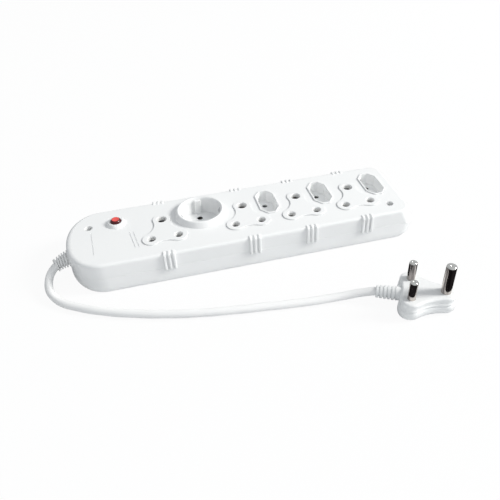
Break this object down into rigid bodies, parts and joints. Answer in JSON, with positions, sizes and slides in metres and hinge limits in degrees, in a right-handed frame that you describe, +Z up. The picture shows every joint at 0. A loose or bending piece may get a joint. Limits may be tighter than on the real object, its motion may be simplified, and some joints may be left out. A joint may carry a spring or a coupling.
{
  "type": "power strip",
  "caption": "Long white mains power strip with round three-pin, round earthed and slim two-pin outlets, a red reset button, and a short cord with a moulded three-pin plug.",
  "frame": {"origin": "centre of the housing's flat underside", "axes": "+X along the strip from the cord end to the far end, +Y towards the earth holes, +Z up out of the outlets"},
  "size_m": [0.3522, 0.1982, 0.0466],
  "materials": {
    "white_housing": "moulded, glossy white",
    "red_button": "glossy translucent red",
    "white_insulation": "moulded",
    "brass_contacts": "stamped strip",
    "steel_parts": "zinc or nickel plated",
    "dark_insulation": "moulded",
    "brown_wire": "extruded insulation",
    "blue_wire": "extruded insulation",
    "green_wire": "extruded insulation",
    "white_cord": "soft white PVC",
    "white_plug": "moulded white PVC, satin gloss",
    "nickel_pins": "nickel plated brass"
  },
  "bodies": {
    "strip": {"top_cover": "white_housing", "bottom_cover": "white_housing", "socket_insert_1": "white_housing", "socket_insert_2": "white_housing", "socket_insert_3": "white_housing", "socket_insert_4": "white_housing", "round_socket_cup": "white_housing", "slim_socket_cup_1": "white_housing", "slim_socket_cup_2": "white_housing", "slim_socket_cup_3": "white_housing", "button_collar": "white_housing", "button_spring": "steel_parts", "breaker_case": "dark_insulation", "breaker_terminals": "brass_contacts", "bimetal_strip": "steel_parts", "live_bar_front": "brass_contacts", "live_bar_rear": "brass_contacts", "neutral_bar": "brass_contacts", "earth_bar": "brass_contacts", "live_sleeves": "brass_contacts", "neutral_sleeves": "brass_contacts", "earth_sleeves": "brass_contacts", "live_clips": "brass_contacts", "neutral_clips": "brass_contacts", "earth_side_clips": "steel_parts", "live_supply_wire": "brown_wire", "live_breaker_wire": "brown_wire", "live_link_wire": "brown_wire", "neutral_wire": "blue_wire", "earth_wire": "green_wire", "inner_cord_sheath": "white_cord", "cord_clamp": "white_insulation", "clamp_screws": "steel_parts", "case_screws": "steel_parts", "cord_gland": "white_cord", "supply_cord": "white_cord", "plug_strain_relief": "white_plug", "plug_body": "white_plug", "plug_bridge": "dark_insulation", "plug_live_pin": "nickel_pins", "plug_neutral_pin": "nickel_pins", "plug_earth_pin": "nickel_pins", "plug_crimps": "brass_contacts", "plug_live_core": "brown_wire", "plug_neutral_core": "blue_wire", "plug_earth_core": "green_wire"},
    "reset_button": {"reset_button_cap": "red_button", "button_plunger": "white_insulation", "moving_contact": "brass_contacts"}
  },
  "joints": [
    {"name": "reset_button_slide", "type": "slide", "parent": "strip", "child": "reset_button", "axis": [0, 0, -1], "range_m": [0, 0.0025], "stiffness_N_per_m": 800, "springref_m": -0.001, "deforming": ["button_spring"]}
  ]
}
